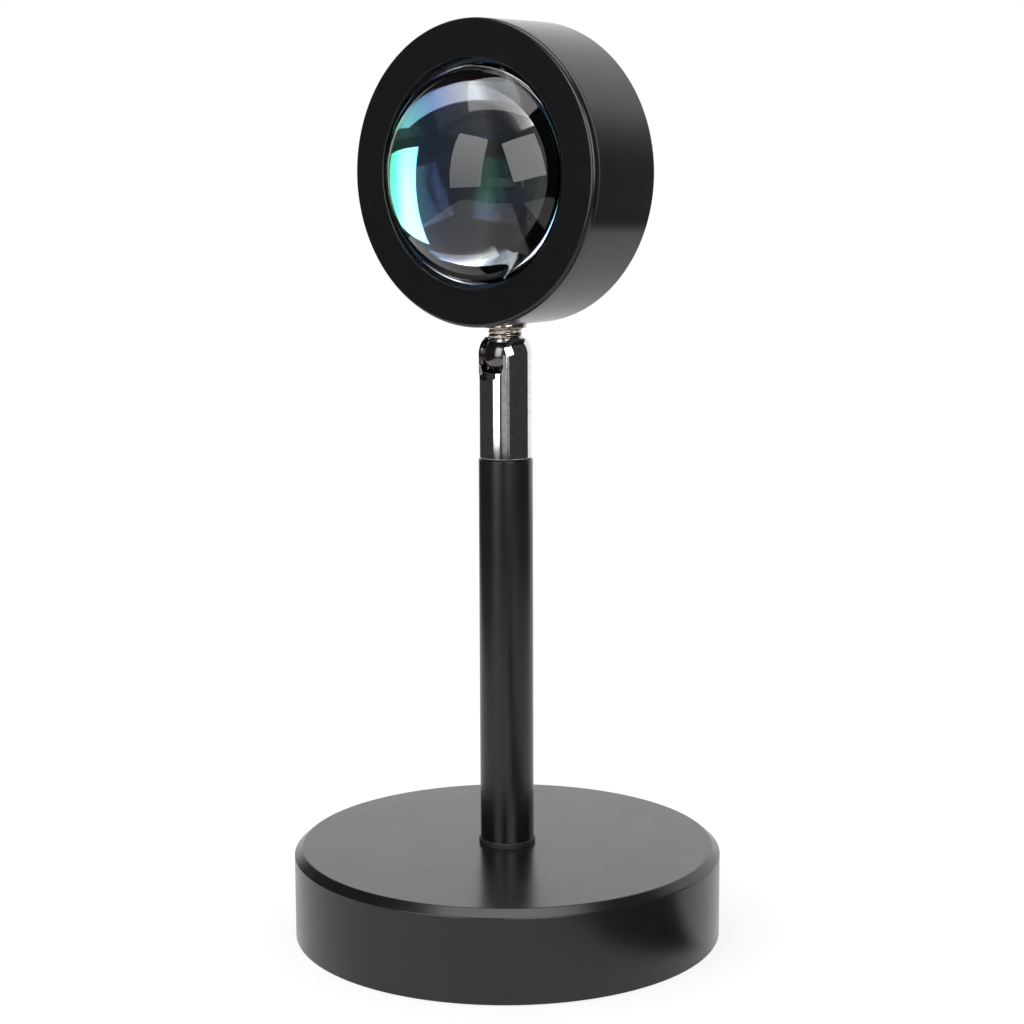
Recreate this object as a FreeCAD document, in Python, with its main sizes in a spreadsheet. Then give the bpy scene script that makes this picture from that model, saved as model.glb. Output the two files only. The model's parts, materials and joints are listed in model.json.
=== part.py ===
import FreeCAD, Part
import math
import os
import Sketcher

# Sunset projection lamp: a weighted round base, a slim pole, a slotted ball swivel and a drum-shaped
# projector head. Millimetres, +Z up, origin at the centre of the underside. The head faces -Y.

doc = FreeCAD.newDocument("SunsetLamp")
sheet = doc.addObject("Spreadsheet::Sheet", "Sizes")

SIZES = [
    # base
    ("base_radius", 50.0),
    ("base_height", 21.3),
    ("base_lift", 0.15),
    ("chamfer_width", 1.92),
    ("chamfer_drop", 1.65),
    ("shell_wall", 1.2),
    ("shell_corner", 0.6),
    ("pad_thickness", 2.0),
    ("pad_margin", 1.0),
    ("plate_thickness", 1.2),
    ("plate_gap", 0.3),
    ("weight_height", 7.0),
    ("weight_gap", 2.5),
    ("boss_radius", 4.0),
    ("boss_root", 3.5),
    ("plate_screw_circle", 36.0),
    ("plate_screw_radius", 1.5),
    ("plate_screw_head", 2.8),
    ("plate_screw_length", 7.2),
    ("inlet_height", 8.0),
    ("inlet_bore", 2.2),
    ("grommet_wall", 0.8),
    ("grommet_flange", 1.2),
    ("grommet_flange_wall", 1.2),
    # pole
    ("pole_radius", 6.25),
    ("pole_wall", 1.0),
    ("pole_length", 91.1),
    ("foot_ring_wall", 0.35),
    ("foot_ring_height", 1.2),
    ("insert_length", 12.0),
    ("foot_stud_radius", 4.9),
    ("foot_stud_length", 14.0),
    ("foot_stud_bore", 3.0),
    ("foot_nut_flats", 14.0),
    ("foot_nut_height", 4.0),
    ("foot_washer_radius", 9.0),
    ("foot_washer_height", 0.8),
    ("hole_clearance", 0.2),
    # turning joint on top of the pole
    ("turn_washer_radius", 5.7),
    ("turn_washer_height", 0.3),
    ("bolt_radius", 3.0),
    ("bolt_bore", 1.7),
    ("bolt_thread", 9.0),
    ("bolt_head_radius", 3.9),
    ("bolt_head_height", 2.2),
    ("bolt_washer_height", 0.6),
    ("plug_floor", 2.5),
    ("plug_length", 11.7),
    ("run_clearance", 0.08),
    ("head_room", 0.3),
    # ball joint
    ("socket_radius", 6.08),
    ("socket_wall", 1.08),
    ("socket_length", 23.7),
    ("dome_cut", 3.75),
    ("slot_half_width", 4.15),
    ("slot_drop", 5.7),
    ("slot_corner", 3.3),
    ("slot_turn", -10.0),
    ("ball_clearance", 0.1),
    ("seat_drop", 4.05),
    ("seat_height", 3.95),
    ("seat_bore", 2.2),
    ("seat_side_gap", 0.1),
    ("spring_sheet", 0.5),
    ("spring_inner", 2.4),
    ("spring_side_gap", 0.2),
    ("stud_radius", 3.9),
    ("stud_bore", 2.0),
    ("collar_radius", 5.0),
    ("collar_height", 1.0),
    ("collar_gap", 6.06),
    ("stud_nut_flats", 11.0),
    ("stud_nut_height", 3.0),
    ("lock_washer_radius", 6.4),
    ("lock_washer_height", 0.6),
    ("stud_tail", 1.0),
    # head: depths count forward from the pole's axis
    ("head_radius", 33.96),
    ("head_front", 12.4),
    ("head_rear", 10.2),
    ("head_drop", 0.37),
    ("head_wall", 2.0),
    ("rear_wall", 2.5),
    ("rear_round", 0.4),
    ("boss_width", 6.8),
    ("boss_height", 1.4),
    ("boss_bite", 1.0),
    ("bezel_lip", 2.0),
    ("bezel_round", 1.0),
    ("bezel_face", 8.6),
    ("window_lip", 0.9),
    ("window_chamfer", 0.3),
    ("bezel_thread", 3.4),
    ("thread_gap", 0.1),
    # optics
    ("lens_lip", 1.64),
    ("lens_flange_height", 1.5),
    ("lens_gap", 0.96),
    ("lens_bulge", 15.0),
    ("gasket_height", 0.5),
    ("gasket_width", 1.8),
    ("filter_thickness", 1.0),
    ("optics_gap", 0.2),
    ("retainer_width", 2.4),
    ("baffle_sheet", 0.8),
    ("baffle_throat", 5.5),
    ("baffle_wall", 1.2),
    ("baffle_neck", 1.8),
    ("baffle_flange", 1.2),
    # light source
    ("block_radius", 18.0),
    ("block_height", 3.0),
    ("thermal_pad_height", 0.5),
    ("board_radius", 14.0),
    ("board_height", 1.2),
    ("emitter_radius", 3.0),
    ("emitter_height", 1.2),
    ("led_screw_offset", 10.5),
    ("led_screw_radius", 1.2),
    ("led_screw_head", 2.0),
    ("led_screw_head_height", 1.4),
    ("led_screw_bite", 1.5),
    ("led_hole_clearance", 0.15),
    # leads
    ("lead_radius", 0.7),
    ("lead_spacing", 1.5),
    ("lead_bend", 4.0),
    ("lead_floor_gap", 1.0),
    ("lead_overlap", 2.4),
    ("lead_ramp", 9.0),
    ("solder_length", 3.0),
    # how far a hole or slot is cut past the face it opens through
    ("cut_past", 2.0),
]
PLATE_SCREWS = 3
SPRING_DISCS = 4


class Size:
    """A size: its number, and the spreadsheet expression that gives it."""

    def __init__(self, number, text):
        self.number = number
        self.text = text

    def __add__(self, other):
        other = as_size(other)
        return Size(self.number + other.number, f"({self.text} + {other.text})")

    def __sub__(self, other):
        other = as_size(other)
        return Size(self.number - other.number, f"({self.text} - {other.text})")

    def __mul__(self, other):
        other = as_size(other)
        return Size(self.number * other.number, f"({self.text} * {other.text})")

    def __truediv__(self, other):
        other = as_size(other)
        return Size(self.number / other.number, f"({self.text} / {other.text})")

    def __neg__(self):
        return Size(-self.number, f"(0 - {self.text})")


def as_size(value):
    return value if isinstance(value, Size) else Size(float(value), str(value))


def leg(longest, other):
    """The third side of a right triangle, from its longest side and one other."""
    return Size(math.sqrt(longest.number ** 2 - other.number ** 2),
                f"sqrt({longest.text} * {longest.text} - {other.text} * {other.text})")


size = {}
for row, (alias, number) in enumerate(SIZES, 1):
    sheet.set(f"A{row}", alias.replace("_", " "))
    sheet.set(f"B{row}", str(number))
    sheet.setAlias(f"B{row}", alias)
    size[alias] = Size(number, f"Sizes.{alias}")
doc.recompute()

ZERO = as_size(0)
cut_past = size["cut_past"]


# ---------------------------------------------------------------- ways of making a piece

def bind(thing, place, value):
    """Give one property its size, so that it follows the sheet."""
    thing.setExpression(place, as_size(value).text)


def origin_plane(body, role):
    return [item for item in body.Origin.OriginFeatures if item.Role == role][0]


def new_sketch(body, name, role, offset=None):
    sketch = body.newObject("Sketcher::SketchObject", name)
    sketch.AttachmentSupport = [(origin_plane(body, role), "")]
    sketch.MapMode = "FlatFace"
    if offset is not None:
        bind(sketch, "AttachmentOffset.Base.z", offset)
    return sketch


def fix_point(sketch, geometry, vertex, across, up):
    """Hold one end of a line or arc at a place that follows the sheet."""
    for kind, value in (("DistanceX", across), ("DistanceY", up)):
        value = as_size(value)
        index = sketch.addConstraint(
            Sketcher.Constraint(kind, -1, 1, geometry, vertex, value.number))
        sketch.setExpression(f"Constraints[{index}]", value.text)


def draw_outline(sketch, points, arcs):
    """A closed outline. arcs gives, for the stretch after a point, its centre and its turn (+1 or -1)."""
    count = len(points)
    ends = []
    for i in range(count):
        start = FreeCAD.Vector(points[i][0].number, points[i][1].number, 0)
        stop = FreeCAD.Vector(points[(i + 1) % count][0].number, points[(i + 1) % count][1].number, 0)
        if i not in arcs:
            geometry = sketch.addGeometry(Part.LineSegment(start, stop), False)
            ends.append((geometry, 1, 2))
            continue
        across, up, radius, turn = arcs[i]
        centre = FreeCAD.Vector(across.number, up.number, 0)
        circle = Part.Circle(centre, FreeCAD.Vector(0, 0, 1), radius.number)
        angles = [math.atan2(p.y - centre.y, p.x - centre.x) for p in (start, stop)]
        if turn < 0:
            angles.reverse()
        if angles[1] <= angles[0]:
            angles[1] += 2 * math.pi
        geometry = sketch.addGeometry(Part.ArcOfCircle(circle, angles[0], angles[1]), False)
        ends.append((geometry, 1, 2) if turn > 0 else (geometry, 2, 1))
        index = sketch.addConstraint(Sketcher.Constraint("Radius", geometry, radius.number))
        sketch.setExpression(f"Constraints[{index}]", radius.text)
    for i in range(count):
        geometry, first, last = ends[i]
        following = ends[(i + 1) % count]
        sketch.addConstraint(Sketcher.Constraint("Coincident", geometry, last, following[0], following[1]))
        fix_point(sketch, geometry, first, *points[i])


def turned(label, points, arcs=None):
    """A piece of revolution about its own Z axis, from (radius, height) corners."""
    body = doc.addObject("PartDesign::Body", label)
    body.Label = label
    sketch = new_sketch(body, label + "_outline", "XZ_Plane")
    points = [(as_size(r), as_size(z)) for r, z in points]
    draw_outline(sketch, points, arcs or {})
    spin = body.newObject("PartDesign::Revolution", label + "_turning")
    spin.Profile = sketch
    spin.ReferenceAxis = (sketch, ["V_Axis"])
    spin.Angle = 360.0
    sketch.Visibility = False
    body.Tip = spin
    return body


def ring(label, inner, outer, bottom, top):
    """A flat ring, or a disc where the inner radius is zero."""
    return turned(label, [(inner, bottom), (outer, bottom), (outer, top), (inner, top)])


def circles(sketch, centres, radius):
    radius = as_size(radius)
    for across, up in centres:
        across, up = as_size(across), as_size(up)
        centre = FreeCAD.Vector(across.number, up.number, 0)
        circle = Part.Circle(centre, FreeCAD.Vector(0, 0, 1), radius.number)
        geometry = sketch.addGeometry(circle, False)
        fix_point(sketch, geometry, 3, across, up)
        index = sketch.addConstraint(Sketcher.Constraint("Radius", geometry, radius.number))
        sketch.setExpression(f"Constraints[{index}]", radius.text)


def extrude(kind, body, sketch, length, along_normal):
    """Pad or pocket a sketch, along its plane's normal or against it."""
    feature = body.newObject("PartDesign::" + kind, sketch.Name + "_" + kind.lower())
    feature.Profile = sketch
    bind(feature, "Length", length)
    feature.Reversed = along_normal != (kind == "Pad")
    sketch.Visibility = False
    body.Tip = feature
    return feature


def drill(body, name, role, offset, centres, radius, depth, along_normal):
    sketch = new_sketch(body, name, role, offset)
    circles(sketch, centres, radius)
    return extrude("Pocket", body, sketch, depth, along_normal)


def cylinder(name, radius, bottom, top, across=ZERO, along=ZERO):
    solid = doc.addObject("Part::Cylinder", name)
    bind(solid, "Radius", radius)
    bind(solid, "Height", as_size(top) - bottom)
    bind(solid, "Placement.Base.x", across)
    bind(solid, "Placement.Base.y", along)
    bind(solid, "Placement.Base.z", bottom)
    return solid


def cone(name, low_radius, high_radius, bottom, top, across=ZERO, along=ZERO):
    solid = doc.addObject("Part::Cone", name)
    bind(solid, "Radius1", low_radius)
    bind(solid, "Radius2", high_radius)
    bind(solid, "Height", as_size(top) - bottom)
    bind(solid, "Placement.Base.x", across)
    bind(solid, "Placement.Base.y", along)
    bind(solid, "Placement.Base.z", bottom)
    return solid


def combine(kind, name, base, tool):
    result = doc.addObject("Part::" + kind, name)
    result.Base = base
    result.Tool = tool
    return result


def hex_nut(label, flats, bore, bottom, top):
    """A nut with two of its flats square to Y."""
    prism = doc.addObject("Part::Prism", label + "_blank")
    prism.Polygon = 6
    bind(prism, "Circumradius", flats * round(1 / math.sqrt(3), 6))
    bind(prism, "Height", top - bottom)
    bind(prism, "Placement.Base.z", bottom)
    bore_tool = cylinder(label + "_bore", bore, bottom - cut_past, top + cut_past)
    return combine("Cut", label, prism, bore_tool)


def group(label, members):
    """Identical loose solids that share one node."""
    compound = doc.addObject("Part::Compound", label)
    compound.Links = members
    return compound


def on_circle(radius, count):
    """Places evenly round a circle, the first on +X."""
    places = []
    for i in range(count):
        angle = 2 * math.pi * i / count
        places.append((radius * round(math.cos(angle), 9), radius * round(math.sin(angle), 9)))
    return places


def lead_tube(points, bends, radius, across):
    """A wire along straight runs in the plane x = across, joined by tangent arcs."""
    at = [FreeCAD.Vector(across, y, z) for y, z in points]
    edges = []
    here = at[0]
    for i, bend in enumerate(bends, 1):
        back = (at[i - 1] - at[i]).normalize()
        on = (at[i + 1] - at[i]).normalize()
        half = back.getAngle(on) / 2
        reach = bend / math.tan(half)
        first = at[i] + back * reach
        last = at[i] + on * reach
        middle_way = (back + on).normalize()
        middle = at[i] + middle_way * (bend / math.sin(half) - bend)
        edges.append(Part.LineSegment(here, first).toShape())
        edges.append(Part.Arc(first, middle, last).toShape())
        here = last
    edges.append(Part.LineSegment(here, at[-1]).toShape())
    path = Part.Wire(edges)
    section = Part.Wire([Part.Circle(at[0], at[1] - at[0], radius).toShape()])
    tube = path.makePipeShell([section], True, False)
    print("lead", round(path.Length, 2), "mm, volume over section times length",
          round(tube.Volume / (math.pi * radius ** 2 * path.Length), 4))
    return tube


def lead_pair(label, points, bends):
    """Two insulated conductors side by side across X."""
    radius = size["lead_radius"].number
    half = size["lead_spacing"].number / 2
    feature = doc.addObject("Part::Feature", label)
    route = [(as_size(y).number, as_size(z).number) for y, z in points]
    turns = [as_size(bend).number for bend in bends]
    feature.Shape = Part.makeCompound([lead_tube(route, turns, radius, x) for x in (-half, half)])
    return feature


# ---------------------------------------------------------------- heights worked out from the sizes

plate_bottom = size["pad_thickness"]
plate_top = plate_bottom + size["plate_thickness"]
shell_inside = size["base_radius"] - size["shell_wall"]
shell_ceiling = size["base_height"] - size["shell_wall"]
weight_bottom = shell_ceiling - size["weight_height"]
stud_hole = size["foot_stud_radius"] + size["hole_clearance"]
pole_inside = size["pole_radius"] - size["pole_wall"]
pole_top = size["base_height"] + size["pole_length"]
socket_bottom = pole_top + size["turn_washer_height"]
socket_inside = size["socket_radius"] - size["socket_wall"]
ball_centre = socket_bottom + size["socket_length"]
ball_radius = socket_inside - size["ball_clearance"]
plug_top = socket_bottom + size["plug_length"]
collar_bottom = ball_centre + size["collar_gap"]
collar_top = collar_bottom + size["collar_height"]
head_centre = collar_top + size["head_radius"] - size["head_drop"]
boss_face = size["head_radius"] - size["head_wall"] - size["boss_height"]
nut_bottom = head_centre - boss_face + size["lock_washer_height"]
nut_top = nut_bottom + size["stud_nut_height"]
stud_top = nut_top + size["stud_tail"]

# ---------------------------------------------------------------- base

base_shell = turned("base_shell", [
    (shell_inside, size["base_lift"]),
    (size["base_radius"], size["base_lift"]),
    (size["base_radius"], size["base_height"] - size["chamfer_drop"]),
    (size["base_radius"] - size["chamfer_width"], size["base_height"]),
    (stud_hole, size["base_height"]),
    (stud_hole, shell_ceiling),
    (size["base_radius"] - size["chamfer_width"] - size["shell_corner"], shell_ceiling),
    (shell_inside, size["base_height"] - size["chamfer_drop"] - size["shell_corner"]),
])
grommet_neck = size["inlet_bore"] + size["grommet_wall"]
drill(base_shell, "cable_inlet", "XZ_Plane", -(shell_inside - cut_past), [(ZERO, size["inlet_height"])],
      grommet_neck, size["shell_wall"] + cut_past * 2, False)

weight_radius = shell_inside - size["weight_gap"]
boss_places = on_circle(size["plate_screw_circle"], PLATE_SCREWS)
base_weight = ring("base_weight", stud_hole, weight_radius, weight_bottom, shell_ceiling)
bosses = new_sketch(base_weight, "screw_bosses", "XY_Plane", plate_top)
circles(bosses, boss_places, size["boss_radius"])
extrude("Pad", base_weight, bosses, weight_bottom - plate_top + size["boss_root"], True)
drill(base_weight, "boss_threads", "XY_Plane", plate_top, boss_places, size["plate_screw_radius"],
      size["plate_screw_length"], True)

plate_radius = shell_inside - size["plate_gap"]
plate_blank = ring("plate_blank", ZERO, plate_radius, plate_bottom, plate_top)
countersinks = []
screws = []
for i, (across, along) in enumerate(boss_places):
    head = cone(f"plate_screw_head_{i}", size["plate_screw_head"], size["plate_screw_radius"],
                plate_bottom, plate_top, across, along)
    shank = cylinder(f"plate_screw_shank_{i}", size["plate_screw_radius"], plate_top,
                     plate_bottom + size["plate_screw_length"], across, along)
    screws.append(combine("Fuse", f"plate_screw_{i}", head, shank))
    countersinks.append(cone(f"countersink_{i}", size["plate_screw_head"], size["plate_screw_radius"],
                             plate_bottom, plate_top, across, along))
bottom_plate = combine("Cut", "bottom_plate", plate_blank, group("countersinks", countersinks))
plate_screws = group("plate_screws", screws)

base_pad = ring("base_pad", ZERO, plate_radius - size["pad_margin"], ZERO, plate_bottom)

# The grommet's flange stands behind the curved wall, and its neck ends flush with the outside.
flange_radius = grommet_neck + size["grommet_flange"]
flange_front = leg(shell_inside, flange_radius)
neck_end = leg(size["base_radius"], grommet_neck)
cable_grommet = turned("cable_grommet", [
    (size["inlet_bore"], flange_front - size["grommet_flange_wall"]),
    (flange_radius, flange_front - size["grommet_flange_wall"]),
    (flange_radius, flange_front),
    (grommet_neck, flange_front),
    (grommet_neck, neck_end),
    (size["inlet_bore"], neck_end),
])
cable_grommet.Placement.Rotation = FreeCAD.Rotation(FreeCAD.Vector(1, 0, 0), -90)
bind(cable_grommet, "Placement.Base.z", size["inlet_height"])

# ---------------------------------------------------------------- pole

pole_foot_ring = ring("pole_foot_ring", size["pole_radius"], size["pole_radius"] + size["foot_ring_wall"],
                      size["base_height"], size["base_height"] + size["foot_ring_height"])
pole_tube = ring("pole_tube", pole_inside, size["pole_radius"], size["base_height"], pole_top)
foot_stud_end = size["base_height"] - size["foot_stud_length"]
foot_insert = turned("foot_insert", [
    (size["foot_stud_bore"], foot_stud_end),
    (size["foot_stud_radius"], foot_stud_end),
    (size["foot_stud_radius"], size["base_height"]),
    (pole_inside, size["base_height"]),
    (pole_inside, size["base_height"] + size["insert_length"]),
    (size["foot_stud_bore"], size["base_height"] + size["insert_length"]),
])
foot_washer = ring("foot_washer", stud_hole, size["foot_washer_radius"],
                   weight_bottom - size["foot_washer_height"], weight_bottom)
foot_nut = hex_nut("foot_nut", size["foot_nut_flats"], size["foot_stud_radius"],
                   weight_bottom - size["foot_washer_height"] - size["foot_nut_height"],
                   weight_bottom - size["foot_washer_height"])
top_insert = ring("top_insert", size["bolt_radius"], pole_inside, pole_top - size["insert_length"], pole_top)

# ---------------------------------------------------------------- turning joint

turn_hole = size["bolt_radius"] + size["run_clearance"]
turn_washer = ring("turn_washer", turn_hole, size["turn_washer_radius"], pole_top, socket_bottom)
plug_floor_top = socket_bottom + size["plug_floor"]
bolt_head_bottom = plug_floor_top + size["bolt_washer_height"]
turn_bolt = turned("turn_bolt", [
    (size["bolt_bore"], pole_top - size["bolt_thread"]),
    (size["bolt_radius"], pole_top - size["bolt_thread"]),
    (size["bolt_radius"], bolt_head_bottom),
    (size["bolt_head_radius"], bolt_head_bottom),
    (size["bolt_head_radius"], bolt_head_bottom + size["bolt_head_height"]),
    (size["bolt_bore"], bolt_head_bottom + size["bolt_head_height"]),
])
bolt_washer = ring("bolt_washer", turn_hole, size["bolt_head_radius"], plug_floor_top, bolt_head_bottom)
socket_plug = turned("socket_plug", [
    (turn_hole, socket_bottom),
    (socket_inside, socket_bottom),
    (socket_inside, plug_top),
    (size["bolt_head_radius"] + size["head_room"], plug_top),
    (size["bolt_head_radius"] + size["head_room"], plug_floor_top),
    (turn_hole, plug_floor_top),
])

# ---------------------------------------------------------------- ball joint

dome_top = ball_centre + size["dome_cut"]
swivel_socket = turned("swivel_socket", [
    (socket_inside, socket_bottom),
    (size["socket_radius"], socket_bottom),
    (size["socket_radius"], ball_centre),
    (leg(size["socket_radius"], size["dome_cut"]), dome_top),
    (size["slot_half_width"], dome_top),
    (size["slot_half_width"], ball_centre + leg(socket_inside, size["slot_half_width"])),
    (socket_inside, ball_centre),
], {
    2: (ZERO, ball_centre, size["socket_radius"], 1),
    5: (ZERO, ball_centre, socket_inside, -1),
})
slot = new_sketch(swivel_socket, "stud_slot", "XZ_Plane")
slot_bottom = ball_centre - size["slot_drop"]
corner_height = slot_bottom + size["slot_corner"]
corner_across = size["slot_half_width"] - size["slot_corner"]
draw_outline(slot, [
    (size["slot_half_width"], dome_top + cut_past),
    (-size["slot_half_width"], dome_top + cut_past),
    (-size["slot_half_width"], corner_height),
    (-corner_across, slot_bottom),
    (corner_across, slot_bottom),
    (size["slot_half_width"], corner_height),
], {
    2: (-corner_across, corner_height, size["slot_corner"], 1),
    4: (corner_across, corner_height, size["slot_corner"], 1),
})
extrude("Pocket", swivel_socket, slot, size["socket_radius"] + cut_past, True)
swivel_socket.setExpression("Placement.Rotation.Angle", size["slot_turn"].text)

seat_top = ball_centre - size["seat_drop"]
seat_bottom = seat_top - size["seat_height"]
seat_cup = ball_radius + size["ball_clearance"]
ball_seat = turned("ball_seat", [
    (size["seat_bore"], seat_bottom),
    (socket_inside - size["seat_side_gap"], seat_bottom),
    (socket_inside - size["seat_side_gap"], seat_top),
    (leg(seat_cup, size["seat_drop"]), seat_top),
    (size["seat_bore"], ball_centre - leg(seat_cup, size["seat_bore"])),
], {
    3: (ZERO, ball_centre, seat_cup, -1),
})

# Coned spring washers stacked alternately, so that rim meets rim and bore meets bore.
spring_outer = socket_inside - size["spring_side_gap"]
spring_pitch = (seat_bottom - plug_top) / SPRING_DISCS
spring_rise = spring_pitch - size["spring_sheet"]
discs = []
for i in range(SPRING_DISCS):
    foot = plug_top + spring_pitch * i
    bore_lift = spring_rise if i % 2 == 0 else ZERO
    rim_lift = ZERO if i % 2 == 0 else spring_rise
    discs.append(turned(f"spring_disc_{i}", [
        (size["spring_inner"], foot + bore_lift),
        (spring_outer, foot + rim_lift),
        (spring_outer, foot + rim_lift + size["spring_sheet"]),
        (size["spring_inner"], foot + bore_lift + size["spring_sheet"]),
    ]))
seat_springs = group("seat_springs", discs)

ball_stud = turned("ball_stud", [
    (size["stud_bore"], ball_centre - leg(ball_radius, size["stud_bore"])),
    (size["stud_radius"], ball_centre + leg(ball_radius, size["stud_radius"])),
    (size["stud_radius"], stud_top),
    (size["stud_bore"], stud_top),
], {
    0: (ZERO, ball_centre, ball_radius, 1),
})
stud_collar = ring("stud_collar", size["stud_radius"], size["collar_radius"], collar_bottom, collar_top)
stud_lock_washer = ring("stud_lock_washer", size["stud_radius"], size["lock_washer_radius"],
                        nut_bottom - size["lock_washer_height"], nut_bottom)
stud_nut = hex_nut("stud_nut", size["stud_nut_flats"], size["stud_radius"], nut_bottom, nut_top)


# ---------------------------------------------------------------- head: turned pieces face forward

def face_forward(piece):
    """Stand a piece that was turned about Z on the head's axis, its top towards the front."""
    piece.Placement.Rotation = FreeCAD.Rotation(FreeCAD.Vector(1, 0, 0), 90)
    bind(piece, "Placement.Base.z", head_centre)
    return piece


seam = size["head_front"] - size["bezel_lip"]
rear_inside = -size["head_rear"] + size["rear_wall"]
head_inside = size["head_radius"] - size["head_wall"]
head_body = face_forward(turned("head_body", [
    (head_inside, seam),
    (head_inside, rear_inside),
    (ZERO, rear_inside),
    (ZERO, -size["head_rear"]),
    (size["head_radius"] - size["rear_round"], -size["head_rear"]),
    (size["head_radius"], -size["head_rear"] + size["rear_round"]),
    (size["head_radius"], seam),
], {
    4: (size["head_radius"] - size["rear_round"], -size["head_rear"] + size["rear_round"],
        size["rear_round"], 1),
}))
stud_axis = [(ZERO, ZERO)]
boss = new_sketch(head_body, "nut_boss", "XZ_Plane", boss_face)
circles(boss, stud_axis, size["boss_width"])
extrude("Pad", head_body, boss, size["boss_height"] + size["boss_bite"], True)
drill(head_body, "stud_hole", "XZ_Plane", boss_face - cut_past, stud_axis,
      size["stud_radius"] + size["hole_clearance"], size["boss_height"] + size["head_wall"] + cut_past * 2,
      True)
drill(head_body, "collar_seat", "XZ_Plane", size["head_radius"] - size["head_drop"], stud_axis,
      size["collar_radius"] + size["hole_clearance"], size["head_drop"] + cut_past, True)
led_screw_places = [(size["led_screw_offset"], ZERO), (-size["led_screw_offset"], ZERO)]
drill(head_body, "led_screw_threads", "XY_Plane", rear_inside, led_screw_places,
      size["led_screw_radius"], size["led_screw_bite"], False)

window_back = size["head_front"] - size["window_lip"]
thread_end = seam - size["bezel_thread"]
thread_outside = head_inside - size["thread_gap"]
window = size["head_radius"] - size["bezel_face"]
lens_rim = window + size["lens_lip"]
pocket_radius = lens_rim + size["optics_gap"]
front_bezel = face_forward(turned("front_bezel", [
    (window, window_back),
    (pocket_radius, window_back),
    (pocket_radius, thread_end),
    (thread_outside, thread_end),
    (thread_outside, seam),
    (size["head_radius"], seam),
    (size["head_radius"], size["head_front"] - size["bezel_round"]),
    (size["head_radius"] - size["bezel_round"], size["head_front"]),
    (window + size["window_chamfer"], size["head_front"]),
    (window, size["head_front"] - size["window_chamfer"]),
], {
    6: (size["head_radius"] - size["bezel_round"], size["head_front"] - size["bezel_round"],
        size["bezel_round"], 1),
}))

# The lens is flat behind and a spherical cap in front, with a thin flange round it.
lens_back = window_back - size["lens_flange_height"]
cap_radius = window - size["lens_gap"]
lens_sphere = (cap_radius * cap_radius + size["lens_bulge"] * size["lens_bulge"]) / (size["lens_bulge"] * 2)
lens_top = window_back + size["lens_bulge"]
lens = face_forward(turned("lens", [
    (ZERO, lens_back),
    (lens_rim, lens_back),
    (lens_rim, window_back),
    (cap_radius, window_back),
    (ZERO, lens_top),
], {
    3: (ZERO, lens_top - lens_sphere, lens_sphere, 1),
}))
gasket_back = lens_back - size["gasket_height"]
lens_gasket = face_forward(ring("lens_gasket", lens_rim - size["gasket_width"],
                                lens_rim, gasket_back, lens_back))
filter_back = gasket_back - size["filter_thickness"]
colour_filter = face_forward(ring("colour_filter", ZERO, lens_rim, filter_back, gasket_back))
retaining_ring = face_forward(ring("retaining_ring", pocket_radius - size["retainer_width"],
                                   pocket_radius, thread_end, filter_back))

block_front = rear_inside + size["block_height"]
pad_front = block_front + size["thermal_pad_height"]
board_front = pad_front + size["board_height"]
led_hole = size["led_screw_radius"] + size["led_hole_clearance"]
heat_block = face_forward(ring("heat_block", ZERO, size["block_radius"], rear_inside, block_front))
drill(heat_block, "block_holes", "XY_Plane", rear_inside - cut_past, led_screw_places, led_hole,
      size["block_height"] + cut_past * 2, True)
thermal_pad = face_forward(ring("thermal_pad", ZERO, size["board_radius"], block_front, pad_front))
drill(thermal_pad, "pad_holes", "XY_Plane", block_front - cut_past, led_screw_places, led_hole,
      size["thermal_pad_height"] + cut_past * 2, True)
led_board = face_forward(ring("led_board", ZERO, size["board_radius"], pad_front, board_front))
drill(led_board, "board_holes", "XY_Plane", pad_front - cut_past, led_screw_places, led_hole,
      size["board_height"] + cut_past * 2, True)
led_emitter = face_forward(ring("led_emitter", ZERO, size["emitter_radius"], board_front,
                                board_front + size["emitter_height"]))
led_screw_solids = []
for i, (across, along) in enumerate(led_screw_places):
    head = cylinder(f"led_screw_head_{i}", size["led_screw_head"], board_front,
                    board_front + size["led_screw_head_height"], across, along)
    shank = cylinder(f"led_screw_shank_{i}", size["led_screw_radius"],
                     rear_inside - size["led_screw_bite"], board_front, across, along)
    led_screw_solids.append(combine("Fuse", f"led_screw_{i}", head, shank))
led_screws = face_forward(group("led_screws", led_screw_solids))

# The baffle is a black cone from the board to the ring that holds the filter.
flange_back = thread_end - size["baffle_sheet"]
throat_outside = size["baffle_throat"] + size["baffle_wall"]
neck_front = board_front + size["baffle_neck"]
mouth = pocket_radius - size["retainer_width"]
light_baffle = face_forward(turned("light_baffle", [
    (size["baffle_throat"], board_front),
    (throat_outside, board_front),
    (throat_outside, neck_front),
    (mouth, flange_back),
    (mouth + size["baffle_flange"], flange_back),
    (mouth + size["baffle_flange"], thread_end),
    (mouth - size["baffle_wall"], thread_end),
    (size["baffle_throat"], neck_front),
]))

# ---------------------------------------------------------------- leads

lead_low = plate_top + size["lead_floor_gap"] + size["lead_radius"]
lead_end = flange_front - size["grommet_flange_wall"]
pole_leads = lead_pair("pole_leads", [
    (ZERO, seat_bottom),
    (ZERO, lead_low),
    (lead_end - size["lead_ramp"] * 2, lead_low),
    (lead_end - size["lead_ramp"], size["inlet_height"]),
    (lead_end, size["inlet_height"]),
], [size["lead_bend"], size["lead_bend"] * 2, size["lead_bend"] * 2])
solder_depth = -board_front - size["lead_radius"]
board_edge = head_centre - size["board_radius"]
head_leads = lead_pair("head_leads", [
    (ZERO, ball_centre - size["lead_overlap"]),
    (ZERO, stud_top + size["lead_bend"]),
    (solder_depth, board_edge - size["lead_radius"]),
    (solder_depth, board_edge + size["solder_length"]),
], [size["lead_bend"], size["lead_bend"]])

# ---------------------------------------------------------------- check and write

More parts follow.
